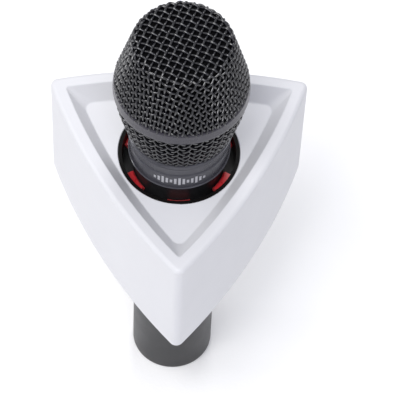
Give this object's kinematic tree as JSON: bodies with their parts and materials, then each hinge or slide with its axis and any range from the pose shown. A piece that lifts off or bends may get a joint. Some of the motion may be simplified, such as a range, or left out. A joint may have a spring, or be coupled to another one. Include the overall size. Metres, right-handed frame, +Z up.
{
  "type": "handheld microphone with flag",
  "caption": "Handheld wireless vocal microphone wearing a white triangular flag, which grips the body with red rubber fingers, slides along it and turns on it.",
  "frame": {"origin": "centre of the microphone's flat tail face", "axes": "+Z up the microphone's axis towards the grille; -Y to the front, where one corner of the flag points"},
  "size_m": [0.1012, 0.0932, 0.2238],
  "materials": {
    "flag_white": "glossy white moulded plastic",
    "adaptor_black": "matte black moulded plastic",
    "finger_red": "soft red rubber",
    "handle_coating": "dark grey satin enamel over aluminium",
    "cup_plastic": "fine-grained dark grey plastic",
    "cap_plastic": "black plastic",
    "button_grey": "grey plastic",
    "light_pipe": "clear green acrylic",
    "circuit_green": "solder-masked glass fibre board",
    "tinned_steel": "tinned sheet",
    "switch_black": "black plastic",
    "gold_contact": "gold flash on brass",
    "battery_jacket": "dark printed foil jacket, no label",
    "cradle_black": "black plastic",
    "collar_enamel": "slate grey satin enamel over die-cast metal",
    "grille_enamel": "black enamel over woven steel wire",
    "band_enamel": "dark grey enamel over steel",
    "foam_black": "open-cell black foam",
    "mount_rubber": "black rubber",
    "capsule_metal": "plain aluminium",
    "magnet_steel": "nickel-plated magnet",
    "diaphragm_film": "thin polyester film",
    "wire_insulation": "plastic-insulated wire",
    "screw_steel": "zinc-plated steel"
  },
  "bodies": {
    "microphone": {"handle_housing": "handle_coating", "head_contact_board": "circuit_green", "main_circuit_board": "circuit_green", "rf_shield_can": "tinned_steel", "tact_switch": "switch_black", "status_led": "switch_black", "led_light_pipe": "light_pipe", "battery_cradle": "cradle_black", "battery_1": "battery_jacket", "battery_2": "battery_jacket", "battery_springs": "tinned_steel", "battery_contact_plates": "tinned_steel", "antenna_strip": "gold_contact"},
    "contact_pins": {"contact_spring_pins": "gold_contact"},
    "power_button": {"power_button": "button_grey", "switch_plunger": "switch_black"},
    "battery_cup": {"battery_cup": "cup_plastic", "tail_cap": "cap_plastic"},
    "head": {"head_collar": "collar_enamel", "head_contact_disc": "circuit_green", "head_contact_rings": "gold_contact", "head_wires": "wire_insulation", "capsule_shock_mount": "mount_rubber", "capsule_housing": "capsule_metal", "capsule_magnet": "magnet_steel", "capsule_diaphragm": "diaphragm_film", "capsule_front_screen": "capsule_metal"},
    "grille": {"grille_base_ring": "band_enamel", "grille_lower_mesh": "grille_enamel", "grille_band": "band_enamel", "grille_upper_mesh": "grille_enamel", "windscreen_foam": "foam_black"},
    "adaptor": {"adaptor_sleeve": "adaptor_black"},
    "flag": {"flag_shell": "flag_white", "flag_bottom_cover": "flag_white", "flag_cover_screws": "screw_steel"},
    "finger_1": {"grip_finger_1": "finger_red"},
    "finger_2": {"grip_finger_2": "finger_red"},
    "finger_3": {"grip_finger_3": "finger_red"},
    "finger_4": {"grip_finger_4": "finger_red"},
    "finger_5": {"grip_finger_5": "finger_red"},
    "finger_6": {"grip_finger_6": "finger_red"}
  },
  "joints": [
    {"name": "adaptor_slide", "type": "slide", "parent": "microphone", "child": "adaptor", "axis": [0, 0, 1], "range_m": [-0.19, 0]},
    {"name": "flag_turn", "type": "hinge", "parent": "adaptor", "child": "flag", "pos_m": [0, 0, 0.14], "axis": [0, 0, 1], "continuous": true},
    {"name": "power_button_press", "type": "slide", "parent": "microphone", "child": "power_button", "axis": [0, 1, 0], "range_m": [0, 0.0006], "stiffness_N_per_m": 3000},
    {"name": "contact_pins_press", "type": "slide", "parent": "microphone", "child": "contact_pins", "axis": [0, 0, -1], "range_m": [0, 0.0006], "stiffness_N_per_m": 500},
    {"name": "cup_release", "type": "slide", "parent": "microphone", "child": "battery_cup", "axis": [0, 0, -1], "range_m": [0, 0.06]},
    {"name": "head_release", "type": "slide", "parent": "microphone", "child": "head", "axis": [0, 0, 1], "range_m": [0, 0.025]},
    {"name": "grille_release", "type": "slide", "parent": "head", "child": "grille", "axis": [0, 0, 1], "range_m": [0, 0.05]},
    {"name": "finger_1_flex", "type": "hinge", "parent": "adaptor", "child": "finger_1", "pos_m": [0, -0.0229, 0.141], "axis": [1, 0, 0], "range_deg": [-10, 10], "stiffness_Nm_per_rad": 0.05},
    {"name": "finger_2_flex", "type": "hinge", "parent": "adaptor", "child": "finger_2", "pos_m": [0.01983, -0.01145, 0.141], "axis": [0.5, 0.866, 0], "range_deg": [-10, 10], "stiffness_Nm_per_rad": 0.05},
    {"name": "finger_3_flex", "type": "hinge", "parent": "adaptor", "child": "finger_3", "pos_m": [0.01983, 0.01145, 0.141], "axis": [-0.5, 0.866, 0], "range_deg": [-10, 10], "stiffness_Nm_per_rad": 0.05},
    {"name": "finger_4_flex", "type": "hinge", "parent": "adaptor", "child": "finger_4", "pos_m": [0, 0.0229, 0.141], "axis": [-1, 0, 0], "range_deg": [-10, 10], "stiffness_Nm_per_rad": 0.05},
    {"name": "finger_5_flex", "type": "hinge", "parent": "adaptor", "child": "finger_5", "pos_m": [-0.01983, 0.01145, 0.141], "axis": [-0.5, -0.866, 0], "range_deg": [-10, 10], "stiffness_Nm_per_rad": 0.05},
    {"name": "finger_6_flex", "type": "hinge", "parent": "adaptor", "child": "finger_6", "pos_m": [-0.01983, -0.01145, 0.141], "axis": [0.5, -0.866, 0], "range_deg": [-10, 10], "stiffness_Nm_per_rad": 0.05}
  ]
}
